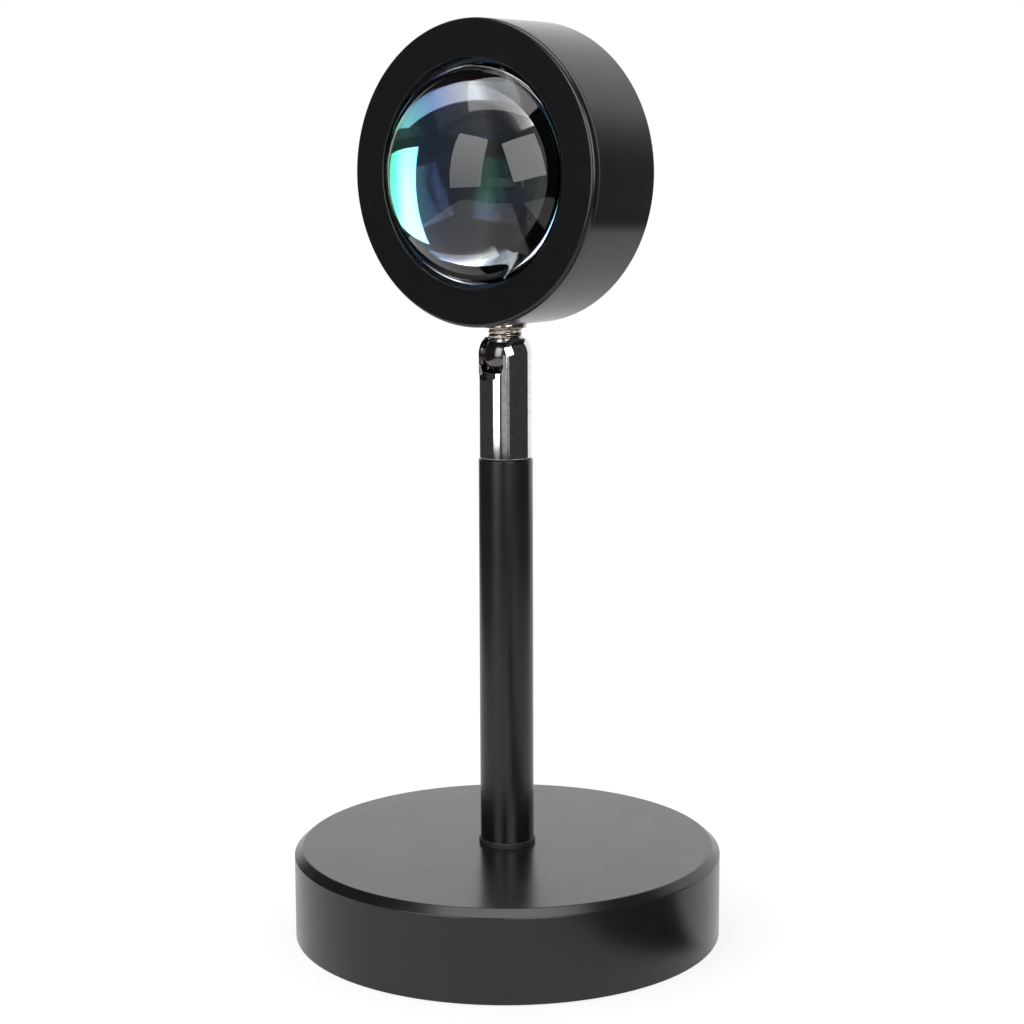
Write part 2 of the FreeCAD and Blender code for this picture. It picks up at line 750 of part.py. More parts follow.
doc.recompute()
NODES = {
    "base_shell": base_shell,
    "base_weight": base_weight,
    "bottom_plate": bottom_plate,
    "plate_screws": plate_screws,
    "base_pad": base_pad,
    "cable_grommet": cable_grommet,
    "pole_foot_ring": pole_foot_ring,
    "pole_tube": pole_tube,
    "foot_insert": foot_insert,
    "foot_washer": foot_washer,
    "foot_nut": foot_nut,
    "top_insert": top_insert,
    "turn_washer": turn_washer,
    "turn_bolt": turn_bolt,
    "bolt_washer": bolt_washer,
    "pole_leads": pole_leads,
    "socket_plug": socket_plug,
    "swivel_socket": swivel_socket,
    "ball_seat": ball_seat,
    "seat_springs": seat_springs,
    "ball_stud": ball_stud,
    "stud_collar": stud_collar,
    "stud_lock_washer": stud_lock_washer,
    "stud_nut": stud_nut,
    "head_body": head_body,
    "front_bezel": front_bezel,
    "lens": lens,
    "lens_gasket": lens_gasket,
    "colour_filter": colour_filter,
    "retaining_ring": retaining_ring,
    "light_baffle": light_baffle,
    "heat_block": heat_block,
    "thermal_pad": thermal_pad,
    "led_board": led_board,
    "led_emitter": led_emitter,
    "led_screws": led_screws,
    "head_leads": head_leads,
}
for item in doc.Objects:
    if "Invalid" in item.State or "Error" in item.State:
        raise RuntimeError(f"{item.Label} did not build: {item.State}")
os.makedirs("parts", exist_ok=True)
for label, item in NODES.items():
    shape = item.Shape
    if shape.isNull() or not shape.isValid() or not shape.Solids:
        raise RuntimeError(f"{label} has no valid shape")
    item.Label = label
for label, item in NODES.items():
    item.Shape.exportStep(f"parts/{label}.step")
    box = item.Shape.BoundBox
    print(f"{label:18s} solids {len(item.Shape.Solids)} volume {item.Shape.Volume:9.1f} "
          f"z {box.ZMin:7.2f} {box.ZMax:7.2f} y {box.YMin:7.2f} {box.YMax:7.2f}")
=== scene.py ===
import bmesh
import bpy
import json
import math
from mathutils import Matrix, Vector

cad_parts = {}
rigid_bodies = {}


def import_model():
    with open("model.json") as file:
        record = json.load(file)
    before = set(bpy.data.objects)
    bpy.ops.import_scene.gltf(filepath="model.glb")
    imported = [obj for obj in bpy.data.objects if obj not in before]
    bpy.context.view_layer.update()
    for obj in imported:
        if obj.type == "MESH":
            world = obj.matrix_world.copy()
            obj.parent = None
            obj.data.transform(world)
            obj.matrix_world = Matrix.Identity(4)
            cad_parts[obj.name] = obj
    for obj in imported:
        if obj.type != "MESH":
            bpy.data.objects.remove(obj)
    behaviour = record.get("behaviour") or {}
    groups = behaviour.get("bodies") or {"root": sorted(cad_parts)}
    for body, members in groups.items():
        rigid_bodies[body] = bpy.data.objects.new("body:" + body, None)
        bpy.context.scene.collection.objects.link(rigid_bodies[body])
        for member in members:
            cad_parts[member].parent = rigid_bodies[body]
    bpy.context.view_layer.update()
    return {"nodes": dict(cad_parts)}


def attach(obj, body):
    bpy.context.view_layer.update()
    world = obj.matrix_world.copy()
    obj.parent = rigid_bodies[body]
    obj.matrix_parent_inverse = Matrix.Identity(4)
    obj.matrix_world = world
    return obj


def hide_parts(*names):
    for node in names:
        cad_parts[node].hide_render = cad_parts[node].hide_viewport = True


# Sunset projection lamp. The frame is in metres; sizes in the dictionaries below are in millimetres.
mm = 0.001

for leftover in list(bpy.data.objects):
    bpy.data.objects.remove(leftover)
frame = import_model()
print("frame loaded with", len(frame["nodes"]), "nodes")


# Camera

camera = {
    "place": (0.31176, -0.39704, 0.1803),  # metres
    "turn": 37.98,  # degrees about the vertical
    "tip": 80.95,
    "roll": -0.21,
    "sensor": 36.0,
    "lens": 77.9,
}
cameraData = bpy.data.cameras.new("photoCamera")
cameraData.sensor_width = camera["sensor"]
cameraData.lens = camera["lens"]
cameraObject = bpy.data.objects.new("photoCamera", cameraData)
bpy.context.scene.collection.objects.link(cameraObject)
cameraObject.matrix_world = (
    Matrix.Translation(camera["place"])
    @ Matrix.Rotation(math.radians(camera["turn"]), 4, "Z")
    @ Matrix.Rotation(math.radians(camera["tip"]), 4, "X")
    @ Matrix.Rotation(math.radians(camera["roll"]), 4, "Z")
)
bpy.context.scene.camera = cameraObject
bpy.context.scene.view_settings.view_transform = "Standard"
print("camera placed")


# Nodes and colours

def toLinear(hexText):
    parts = [int(hexText[i:i + 2], 16) / 255 for i in (0, 2, 4)]
    return tuple(p / 12.92 if p <= 0.04045 else ((p + 0.055) / 1.055) ** 2.4 for p in parts) + (1.0,)


def addNode(tree, kind, settings=None, values=None, links=None):
    node = tree.nodes.new(kind)
    for name, value in (settings or {}).items():
        setattr(node, name, value)
    for socket, value in (values or {}).items():
        node.inputs[socket].default_value = value
    for socket, source in (links or {}).items():
        tree.links.new(source, node.inputs[socket])
    return node


def setRamp(node, stops):
    ramp = node.color_ramp
    while len(ramp.elements) > 1:
        ramp.elements.remove(ramp.elements[-1])
    ramp.elements[0].position, ramp.elements[0].color = stops[0]
    for position, colour in stops[1:]:
        ramp.elements.new(position).color = colour
    return node


def grey(level):
    return (level, level, level, 1.0)


def newMaterial(name):
    material = bpy.data.materials.new(name)
    material.use_nodes = True
    material.node_tree.nodes.clear()
    return material, material.node_tree


def grain(tree, size, detail=2.0, stretch=(1, 1, 1)):
    # noise whose grains are about size mm across, on Object coordinates
    where = addNode(tree, "ShaderNodeTexCoord")
    mapping = addNode(tree, "ShaderNodeMapping", values={"Scale": stretch},
                      links={"Vector": where.outputs["Object"]})
    noise = addNode(tree, "ShaderNodeTexNoise", values={"Scale": 1 / (size * mm), "Detail": detail},
                    links={"Vector": mapping.outputs[0]})
    return noise.outputs["Fac"]


# Materials. In each finish, cloud and grain are the widths of two patterns in mm: cloud varies the colour
# from dark to light, grain makes bumps of the given depth in mm, and the roughness runs from smooth to rough.
finishes = {
    # polyester powder baked on steel: a satin black skin, soft reflections with a slight orange peel.
    # The grit is drawn a little coarser than real so that it shows.
    "coat": {
        "name": "blackPowderCoat", "ior": 1.5, "dark": "151516", "light": "19191a", "cloud": 9.0, "grain": 0.12,
        "detail": 1.0, "depth": 0.0016, "smooth": 0.22, "rough": 0.27, "roughFollows": "cloud",
        "peel": 0.9, "peelDepth": 0.004},
    # blasted and black anodised aluminium: matte, very dark, even
    "anodised": {
        "name": "blackAnodisedAluminium", "ior": 1.5, "dark": "161618", "light": "1a1a1c", "cloud": 6.0,
        "grain": 0.15, "detail": 1.5, "depth": 0.0022, "smooth": 0.18, "rough": 0.23},
    # bright chromium over nickel: mirror-like, with faint lengthwise polishing lines
    "polishedChrome": {
        "metallic": 1.0, "dark": "c9c6ca", "light": "dcdbde", "cloud": 1.1, "grain": 0.5,
        "stretch": (1, 1, 0.12), "depth": 0.0012, "smooth": 0.03, "rough": 0.07},
    # nickel plated on the turned steel collar: warmer and duller than chromium
    "nickelPlate": {
        "metallic": 1.0, "dark": "a2968d", "light": "cbc3bb", "cloud": 0.9, "grain": 0.25,
        "depth": 0.002, "smooth": 0.10, "rough": 0.24},
    # the same nickel on the stud, with painted shade below this height in mm, where the ball sits inside its socket
    "nickelBall": {
        "metallic": 1.0, "dark": "8f847b", "light": "d8d2cb", "cloud": 0.9, "grain": 0.25,
        "depth": 0.004, "smooth": 0.10, "rough": 0.24, "shadedBelow": 139.4, "shadeFade": 0.2, "shadeColour": "6e6a67"},
    # zinc plated on pressed steel, screws and nuts: pale grey with soft streaks
    "zincPlate": {
        "metallic": 1.0, "dark": "9a9b9d", "light": "b9babc", "cloud": 5.0, "grain": 0.3,
        "stretch": (1, 0.2, 1), "depth": 0.003, "smooth": 0.28, "rough": 0.42},
    # brass turned on a lathe: yellow, with fine rings round its axis
    "turnedBrass": {
        "metallic": 1.0, "dark": "b08d47", "light": "c9a863", "cloud": 3.0, "grain": 0.2,
        "stretch": (0.1, 0.1, 1), "depth": 0.003, "smooth": 0.20, "rough": 0.34},
    # aluminium faced on a lathe: pale, with fine rings across the block
    "turnedAluminium": {
        "metallic": 1.0, "dark": "b4b5b8", "light": "cfd0d2", "cloud": 4.0, "grain": 0.25,
        "stretch": (0.15, 1, 0.15), "depth": 0.003, "smooth": 0.26, "rough": 0.40},
    # moulded black rubber of foot ring, grommet and gasket: no gloss and slightly grainy
    "blackRubber": {
        "ior": 1.52, "dark": "131314", "light": "1a1a1b", "cloud": 3.0, "grain": 0.3,
        "depth": 0.004, "smooth": 0.50, "rough": 0.62},
    # foam cut from sheet: dull and dark, with its closed cells standing out
    "foamRubber": {
        "ior": 1.5, "dark": "1c1c1d", "light": "2a2a2b", "cloud": 8.0, "grain": 0.7,
        "depth": 0.06, "smooth": 0.80, "rough": 0.95},
    # black ABS from a spark-eroded mould: a fine even grain with a low sheen
    "blackPlastic": {
        "ior": 1.53, "dark": "141415", "light": "1b1b1c", "cloud": 4.0, "grain": 0.2,
        "depth": 0.005, "smooth": 0.42, "rough": 0.55},
    # iron cast in sand: dark grey, pitted and dull
    "castIron": {
        "metallic": 1.0, "dark": "46474a", "light": "5c5d60", "cloud": 5.0, "grain": 0.8,
        "depth": 0.08, "smooth": 0.55, "rough": 0.75},
    # silicone sheet filled with heat-carrying powder: grey-blue and waxy
    "thermalSilicone": {
        "ior": 1.43, "dark": "8d98a2", "light": "a3adb5", "cloud": 3.0, "grain": 0.4,
        "depth": 0.006, "smooth": 0.60, "rough": 0.75},
    # solder mask cured on the LED board: white with a slight gloss
    "whiteBoard": {
        "ior": 1.55, "dark": "dcdcd9", "light": "ecece9", "cloud": 4.0, "grain": 0.5,
        "depth": 0.003, "smooth": 0.30, "rough": 0.42},
    # phosphor stirred into silicone over the LED chip: yellow and a little uneven
    "yellowPhosphor": {
        "ior": 1.41, "dark": "d9a91c", "light": "f0c93a", "cloud": 1.2, "grain": 0.2,
        "depth": 0.01, "smooth": 0.35, "rough": 0.5},
    # PVC drawn over the leads: red with a soft shine
    "redInsulation": {
        "ior": 1.53, "dark": "8e1714", "light": "a8211c", "cloud": 6.0, "grain": 0.3,
        "depth": 0.003, "smooth": 0.36, "rough": 0.48},
}


def surfaceFinish(name, look):
    material, tree = newMaterial(name)
    cloud = grain(tree, look["cloud"], detail=3.0)
    fine = grain(tree, look["grain"], look.get("detail", 2.0), look.get("stretch", (1, 1, 1)))
    colour = addNode(tree, "ShaderNodeValToRGB", links={"Fac": cloud})
    setRamp(colour, [(0.35, toLinear(look["dark"])), (0.65, toLinear(look["light"]))])
    # painted shade: the ball's colour is darkened below a height, inside the socket, where shade falls
    if "shadedBelow" in look:
        where = addNode(tree, "ShaderNodeTexCoord")
        parts = addNode(tree, "ShaderNodeSeparateXYZ", links={0: where.outputs["Object"]})
        aboveShade = addNode(tree, "ShaderNodeMapRange", values={
            "From Min": (look["shadedBelow"] - look["shadeFade"]) * mm,
            "From Max": (look["shadedBelow"] + look["shadeFade"]) * mm}, links={"Value": parts.outputs["Z"]})
        colour = addNode(tree, "ShaderNodeMixRGB", values={"Color1": toLinear(look["shadeColour"])},
                         links={"Fac": aboveShade.outputs[0], "Color2": colour.outputs[0]})
    roughness = addNode(tree, "ShaderNodeMapRange", values={
        "From Min": 0.3, "From Max": 0.7, "To Min": look["smooth"], "To Max": look["rough"]},
        links={"Value": cloud if look.get("roughFollows") == "cloud" else fine})
    height = addNode(tree, "ShaderNodeBump", values={"Distance": look["depth"] * mm, "Strength": 1.0},
                     links={"Height": fine})
    if "peel" in look:
        peel = addNode(tree, "ShaderNodeBump", values={"Distance": look["peelDepth"] * mm, "Strength": 1.0},
                       links={"Height": grain(tree, look["peel"])})
        tree.links.new(peel.outputs[0], height.inputs["Normal"])
    shader = addNode(tree, "ShaderNodeBsdfPrincipled",
                     values={"IOR": look["ior"]} if "ior" in look else {"Metallic": look["metallic"]},
                     links={"Base Color": colour.outputs[0], "Roughness": roughness.outputs[0],
                            "Normal": height.outputs[0]})
    addNode(tree, "ShaderNodeOutputMaterial", links={"Surface": shader.outputs[0]})
    return material


# pressed and fire-polished optical glass: clear, with hardly any tint and a slow swirl whose sizes are in mm
lensLook = {"tint": "f7fbfb", "ior": 1.49, "swirl": 14.0, "swirlDepth": 0.004}


def lensGlass():
    material, tree = newMaterial("opticalGlass")
    swirl = grain(tree, lensLook["swirl"], detail=1.0)
    height = addNode(tree, "ShaderNodeBump", values={"Distance": lensLook["swirlDepth"] * mm, "Strength": 1.0},
                     links={"Height": swirl})
    shader = addNode(tree, "ShaderNodeBsdfPrincipled", values={
        "Base Color": toLinear(lensLook["tint"]), "Roughness": 0.0, "IOR": lensLook["ior"],
        "Transmission Weight": 1.0}, links={"Normal": height.outputs[0]})
    addNode(tree, "ShaderNodeOutputMaterial", links={"Surface": shader.outputs[0]})
    return material


# thin-film coated glass: mirrors cyan and blue, lets orange light through. The band that it sends back
# slides from green to blue and then to white as the light slants.
filterLook = {"through": "e86a1e", "mirrored": 0.88, "haze": 3.0, "hazeRough": 0.015}
filterBands = [
    (0.00, "33c98a"),
    (0.05, "46dcb4"),
    (0.11, "98f2ee"),
    (0.18, "86d4f2"),
    (0.26, "93b4f0"),
    (0.36, "c4c6e6"),
    (0.50, "f2f2f6"),
    (0.57, "7c8496"),
    (0.64, "243044"),  # past about 70 degrees the coating hardly mirrors
]


def filterGlass():
    material, tree = newMaterial("dichroicGlass")
    slant = addNode(tree, "ShaderNodeLayerWeight", values={"Blend": 0.5})
    band = addNode(tree, "ShaderNodeValToRGB", links={"Fac": slant.outputs["Facing"]})
    setRamp(band, [(place, toLinear(colour)) for place, colour in filterBands])
    haze = grain(tree, filterLook["haze"])
    roughness = addNode(tree, "ShaderNodeMapRange", values={
        "From Min": 0.3, "From Max": 0.7, "To Max": filterLook["hazeRough"]}, links={"Value": haze})
    mirror = addNode(tree, "ShaderNodeBsdfPrincipled", values={"Metallic": 1.0}, links={
        "Base Color": band.outputs[0], "Roughness": roughness.outputs[0]})
    clear = addNode(tree, "ShaderNodeBsdfTransparent", values={"Color": toLinear(filterLook["through"])})
    shader = addNode(tree, "ShaderNodeMixShader", values={"Fac": filterLook["mirrored"]},
                     links={1: clear.outputs[0], 2: mirror.outputs[0]})
    addNode(tree, "ShaderNodeOutputMaterial", links={"Surface": shader.outputs[0]})
    return material


materials = {"lens": lensGlass(), "filter": filterGlass()}
for finishName, look in finishes.items():
    materials[finishName] = surfaceFinish(look.get("name", finishName), look)
print("materials made:", len(materials))


# Shaping
holdGap = 0.12  # mm from a corner to the loop that keeps the wall beside it flat
shortWall = 1.0  # mm, shorter ones and the steps of an arc get none
joinGap = 0.0005  # mm, points closer than this are one
pastWall = 2.0  # mm by which a cutter sticks out of the wall that it cuts


def drawOutline(bm, moves, closed):
    # moves are (radius, height, rounding) corners, or an arc from the last corner:
    # ("arc", centre radius, centre height, degrees, steps)
    corners = []
    first = last = None
    for move in moves:
        if move[0] == "arc":
            turned = bmesh.ops.spin(bm, geom=[last], cent=(move[1] * mm, 0, move[2] * mm), axis=(0, 1, 0),
                                    angle=math.radians(move[3]), steps=move[4])
            last = [item for item in turned["geom_last"] if isinstance(item, bmesh.types.BMVert)][0]
            continue
        new = bm.verts.new((move[0] * mm, 0, move[1] * mm))
        if last is not None:
            bm.edges.new((last, new))
        first = first or new
        last = new
        if len(move) > 2 and move[2] > 0:
            corners.append((new, move[2]))
    if closed:
        bm.edges.new((last, first))
    for corner, rounding in corners:
        bmesh.ops.bevel(bm, geom=[corner], offset=rounding * mm, offset_type="OFFSET", segments=5, profile=0.5,
                        affect="VERTICES", material=-1, clamp_overlap=True)
    for edge in bm.edges[:]:
        first, last = edge.verts
        length = edge.calc_length()
        if length > shortWall * mm:
            new = bmesh.utils.edge_split(edge, first, holdGap * mm / length)[1]
            rest = [other for other in new.link_edges if last in other.verts][0]
            bmesh.utils.edge_split(rest, last, holdGap * mm / (length - holdGap * mm))


def lathe(moves, steps=192, closed=True):
    bm = bmesh.new()
    drawOutline(bm, moves, closed)
    bmesh.ops.spin(bm, geom=bm.verts[:] + bm.edges[:], cent=(0, 0, 0), axis=(0, 0, 1), angle=math.radians(360),
                   steps=steps, use_merge=True)
    bmesh.ops.remove_doubles(bm, verts=bm.verts[:], dist=joinGap * mm)
    bmesh.ops.recalc_face_normals(bm, faces=bm.faces[:])
    return bm


def rod(radius, start, stop, turn, place, steps=64):
    # a plain cylinder along its own Z from start to stop, used to cut holes
    bm = bmesh.new()
    bmesh.ops.create_cone(bm, cap_ends=True, segments=steps, radius1=radius * mm, radius2=radius * mm,
                          depth=(stop - start) * mm,
                          matrix=Matrix.Translation([p * mm for p in place]) @ turn
                          @ Matrix.Translation((0, 0, (start + stop) / 2 * mm)))
    return bm


def temporaryObject(bm):
    mesh = bpy.data.meshes.new("temporary")
    bm.to_mesh(mesh)
    bm.free()
    thing = bpy.data.objects.new("temporary", mesh)
    bpy.context.scene.collection.objects.link(thing)
    return thing


def carve(bm, cutter, operation="DIFFERENCE"):
    base, tool = temporaryObject(bm), temporaryObject(cutter)
    modifier = base.modifiers.new("carve", "BOOLEAN")
    modifier.operation = operation
    modifier.solver = "EXACT"
    modifier.object = tool
    tool.hide_render = True
    graph = bpy.context.evaluated_depsgraph_get()
    result = bpy.data.meshes.new_from_object(base.evaluated_get(graph))
    carved = bmesh.new()
    carved.from_mesh(result)
    for thing in (base, tool):
        mesh = thing.data
        bpy.data.objects.remove(thing)
        bpy.data.meshes.remove(mesh)
    bpy.data.meshes.remove(result)
    bmesh.ops.remove_doubles(carved, verts=carved.verts[:], dist=joinGap * mm)
    return carved


def faceForward(bm):
    # a piece turned about Z, its top to the front, stood on the head's axis
    bmesh.ops.rotate(bm, verts=bm.verts[:], cent=(0, 0, 0), matrix=Matrix.Rotation(math.radians(90), 3, "X"))
    bmesh.ops.translate(bm, verts=bm.verts[:], vec=(0, 0, headCentre * mm))
    return bm


def finishPiece(name, bm, body, material, nodes, sharp=32):
    for face in bm.faces:
        face.smooth = True
    for edge in bm.edges:
        edge.smooth = edge.calc_face_angle(0) < math.radians(sharp)
    mesh = bpy.data.meshes.new(name)
    bm.to_mesh(mesh)
    bm.free()
    piece = bpy.data.objects.new(name, mesh)
    bpy.context.scene.collection.objects.link(piece)
    mesh.materials.append(materials[material])
    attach(piece, body)
    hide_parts(*nodes)
    return piece


# Base

base = {
    "radius": 50.0, "low": 0.15, "top": 21.3, "wall": 1.2,
    "chamferWidth": 1.92, "chamferDrop": 1.65,
    "chamferEdge": 0.18,  # how soft the coat leaves the chamfer's two edges
    "chamferInside": 0.6,  # the wall's bend on the inside
    "lowEdge": 0.15, "innerEdge": 0.2,
    "studHole": 5.1,
    "inletHeight": 8.0, "inletRadius": 3.0,
}
innerRadius = base["radius"] - base["wall"]
shell = lathe([
    (innerRadius, base["low"], base["innerEdge"]),
    (base["radius"], base["low"], base["lowEdge"]),
    (base["radius"], base["top"] - base["chamferDrop"], base["chamferEdge"]),
    (base["radius"] - base["chamferWidth"], base["top"], base["chamferEdge"]),
    (base["studHole"], base["top"]),
    (base["studHole"], base["top"] - base["wall"]),
    (base["radius"] - base["chamferWidth"] - base["chamferInside"], base["top"] - base["wall"]),
    (innerRadius, base["top"] - base["chamferDrop"] - base["chamferInside"]),
], steps=384)
inlet = rod(base["inletRadius"], innerRadius - pastWall, base["radius"] + pastWall,
            Matrix.Rotation(math.radians(-90), 4, "X"), (0, 0, base["inletHeight"]))
shell = carve(shell, inlet)
finishPiece("baseShell", shell, "stand", "coat", ["base_shell"])

pad = {"radius": 47.5, "top": 2.0, "edge": 0.5}
finishPiece("basePad", lathe([
    (0, 0), (pad["radius"], 0, pad["edge"]), (pad["radius"], pad["top"], pad["edge"]), (0, pad["top"]),
], closed=False), "stand", "foamRubber", ["base_pad"])

grommet = {"bore": 2.2, "neck": 3.0, "flange": 4.2, "back": 47.42, "front": 48.62, "end": 49.91, "lip": 0.3}
bushing = lathe([
    (grommet["bore"], grommet["back"], grommet["lip"]),
    (grommet["flange"], grommet["back"], grommet["lip"]),
    (grommet["flange"], grommet["front"]),
    (grommet["neck"], grommet["front"]),
    (grommet["neck"], grommet["end"], grommet["lip"]),
    (grommet["bore"], grommet["end"], grommet["lip"]),
], steps=64)
bmesh.ops.rotate(bushing, verts=bushing.verts[:], cent=(0, 0, 0),
                 matrix=Matrix.Rotation(math.radians(-90), 3, "X"))
bmesh.ops.translate(bushing, verts=bushing.verts[:], vec=(0, 0, base["inletHeight"] * mm))
finishPiece("cableGrommet", bushing, "stand", "blackRubber", ["cable_grommet"])
print("base made")


# Pole

pole = {
    "radius": 6.25, "wall": 1.0, "bottom": 21.3, "top": 112.4, "edge": 0.18,
    "ringWall": 0.35, "ringHeight": 1.2, "ringEdge": 0.3,
}
finishPiece("poleTube", lathe([
    (pole["radius"] - pole["wall"], pole["bottom"]),
    (pole["radius"], pole["bottom"]),
    (pole["radius"], pole["top"], pole["edge"]),
    (pole["radius"] - pole["wall"], pole["top"], pole["edge"]),
], steps=128), "stand", "coat", ["pole_tube"])
finishPiece("poleFootRing", lathe([
    (pole["radius"], pole["bottom"]),
    (pole["radius"] + pole["ringWall"], pole["bottom"]),
    (pole["radius"] + pole["ringWall"], pole["bottom"] + pole["ringHeight"], pole["ringEdge"]),
    (pole["radius"], pole["bottom"] + pole["ringHeight"]),
], steps=128), "stand", "blackRubber", ["pole_foot_ring"])

washer = {"bore": 3.08, "radius": 5.7, "bottom": 112.4, "top": 112.7, "edge": 0.08}
finishPiece("turnWasher", lathe([
    (washer["bore"], washer["bottom"]), (washer["radius"], washer["bottom"], washer["edge"]),
    (washer["radius"], washer["top"], washer["edge"]), (washer["bore"], washer["top"]),
], steps=96), "stand", "blackPlastic", ["turn_washer"])
print("pole made")


# Swivel socket

socket = {
    "radius": 6.08, "wall": 1.08, "bottom": 112.7, "ball": 136.4,  # ball is the height of its centre
    "domeCut": 3.75, "slotHalf": 4.15, "slotDrop": 5.7, "slotCorner": 3.3, "slotTurn": -10.0,
    "lowEdge": 0.15, "rimEdge": 0.12,
}
inside = socket["radius"] - socket["wall"]
domeTop = socket["ball"] + socket["domeCut"]
outerTurn = math.degrees(math.asin(socket["domeCut"] / socket["radius"]))
innerLift = math.sqrt(inside ** 2 - socket["slotHalf"] ** 2)
innerTurn = math.degrees(math.asin(innerLift / inside))
tube = lathe([
    (inside, socket["bottom"], socket["lowEdge"]),
    (socket["radius"], socket["bottom"], socket["lowEdge"]),
    (socket["radius"], socket["ball"]),
    ("arc", 0, socket["ball"], -outerTurn, 14),
    (socket["slotHalf"], domeTop, socket["rimEdge"]),
    (socket["slotHalf"], socket["ball"] + innerLift),
    ("arc", 0, socket["ball"], innerTurn, 10),
], steps=192)
slotBottom = socket["ball"] - socket["slotDrop"]
slotCutter = bmesh.new()
outline = [slotCutter.verts.new((x * mm, 0, z * mm)) for x, z in (
    (socket["slotHalf"], domeTop + pastWall), (-socket["slotHalf"], domeTop + pastWall),
    (-socket["slotHalf"], slotBottom), (socket["slotHalf"], slotBottom))]
slotCutter.faces.new(outline)
bmesh.ops.bevel(slotCutter, geom=outline[2:], offset=socket["slotCorner"] * mm, offset_type="OFFSET", segments=16,
                profile=0.5, affect="VERTICES", material=-1, clamp_overlap=True)
pulled = bmesh.ops.extrude_face_region(slotCutter, geom=slotCutter.faces[:])
bmesh.ops.translate(slotCutter, verts=[v for v in pulled["geom"] if isinstance(v, bmesh.types.BMVert)],
                    vec=(0, -(socket["radius"] + pastWall) * mm, 0))
bmesh.ops.recalc_face_normals(slotCutter, faces=slotCutter.faces[:])
bmesh.ops.rotate(slotCutter, verts=slotCutter.verts[:], cent=(0, 0, 0),
                 matrix=Matrix.Rotation(math.radians(socket["slotTurn"]), 3, "Z"))
tube = carve(tube, slotCutter)
finishPiece("swivelSocket", tube, "socket", "polishedChrome", ["swivel_socket"])

seat = {"bore": 2.2, "radius": 4.9, "bottom": 128.4, "top": 132.35, "cup": 5.0, "edge": 0.12}
cupTop = math.sqrt(seat["cup"] ** 2 - (socket["ball"] - seat["top"]) ** 2)
cupStart = math.degrees(math.asin((socket["ball"] - seat["top"]) / seat["cup"]))
cupStop = math.degrees(math.acos(seat["bore"] / seat["cup"]))
finishPiece("ballSeat", lathe([
    (seat["bore"], seat["bottom"]),
    (seat["radius"], seat["bottom"], seat["edge"]),
    (seat["radius"], seat["top"], seat["edge"]),
    (cupTop, seat["top"]),
    ("arc", 0, socket["ball"], cupStop - cupStart, 8),
], steps=96), "socket", "polishedChrome", ["ball_seat"])
print("socket made")


# Ball and threaded stud

stud = {
    "ballRadius": 4.9, "radius": 3.9, "bore": 2.0, "top": 151.086,
    "pitch": 1.0, "threadDepth": 0.22, "threadStart": 139.75, "fadeIn": 0.5, "rings": 11,
    "crest": 0.12, "boreSkin": 0.5,  # share of the pitch left full, and mm round the bore left plain
    "collarBottom": 142.46, "collarTop": 143.46, "collarRadius": 5.0, "collarEdge": 0.2, "collarTopEdge": 0.08,
}
lowTurn = math.degrees(math.acos(stud["bore"] / stud["ballRadius"]))
highTurn = math.degrees(math.acos(stud["radius"] / stud["ballRadius"]))
ball = bmesh.new()
neck = socket["ball"] + stud["ballRadius"] * math.sin(math.radians(highTurn))
drawOutline(ball, [
    (stud["bore"], socket["ball"] - stud["ballRadius"] * math.sin(math.radians(lowTurn))),
    ("arc", 0, socket["ball"], -(lowTurn + highTurn), 40),
    (stud["radius"], stud["top"]),
    (stud["bore"], stud["top"]),
], True)
longEdge = [e for e in ball.edges if all(abs(v.co.x - stud["radius"] * mm) < joinGap * mm for v in e.verts)]
bmesh.ops.subdivide_edges(ball, edges=longEdge, cuts=round((stud["top"] - neck) / stud["pitch"] * stud["rings"]))
bmesh.ops.spin(ball, geom=ball.verts[:] + ball.edges[:], cent=(0, 0, 0), axis=(0, 0, 1), angle=math.radians(360),
               steps=96, use_merge=True)
bmesh.ops.remove_doubles(ball, verts=ball.verts[:], dist=joinGap * mm)
for vert in ball.verts:
    height = vert.co.z / mm
    reach = math.hypot(vert.co.x, vert.co.y) / mm
    if height < stud["threadStart"] or reach < stud["bore"] + stud["boreSkin"]:
        continue
    turns = (height / stud["pitch"] - math.atan2(vert.co.y, vert.co.x) / (2 * math.pi)) % 1.0
    groove = max(0.0, 1 - abs(turns - 0.5) * 2 - stud["crest"]) / (1 - stud["crest"])
    fade = min(1.0, (height - stud["threadStart"]) / stud["fadeIn"])
    shrink = 1 - stud["threadDepth"] * groove * fade / reach
    vert.co.x *= shrink
    vert.co.y *= shrink
bmesh.ops.recalc_face_normals(ball, faces=ball.faces[:])
finishPiece("ballStud", ball, "ball", "nickelBall", ["ball_stud"], sharp=50)

finishPiece("studCollar", lathe([
    (stud["radius"], stud["collarBottom"]),
    (stud["collarRadius"], stud["collarBottom"], stud["collarEdge"]),
    (stud["collarRadius"], stud["collarTop"], stud["collarTopEdge"]),
    (stud["radius"], stud["collarTop"]),
], steps=96), "ball", "nickelPlate", ["stud_collar"])
print("ball and stud made")


# Head

head = {
    "centre": 177.05, "radius": 33.96, "wall": 2.0, "rear": 10.2, "rearWall": 2.5, "seam": 10.4,
    "rearEdge": 0.4, "seamEdge": 0.12, "innerEdge": 0.5, "hole": 4.1, "seat": 5.2, "seatDepth": 0.37,
    "bossRadius": 6.8, "bossHeight": 1.4,
}
headCentre = head["centre"]
headInside = head["radius"] - head["wall"]
drum = faceForward(lathe([
    (0, head["rearWall"] - head["rear"]),
    (headInside, head["rearWall"] - head["rear"], head["innerEdge"]),
    (headInside, head["seam"]),
    (head["radius"], head["seam"], head["seamEdge"]),
    (head["radius"], -head["rear"], head["rearEdge"]),
    (0, -head["rear"]),
], steps=256, closed=False))
bmesh.ops.recalc_face_normals(drum, faces=drum.faces[:])
upright = Matrix.Identity(4)
wallTop = headCentre - headInside + head["bossHeight"]
headFoot = headCentre - head["radius"]
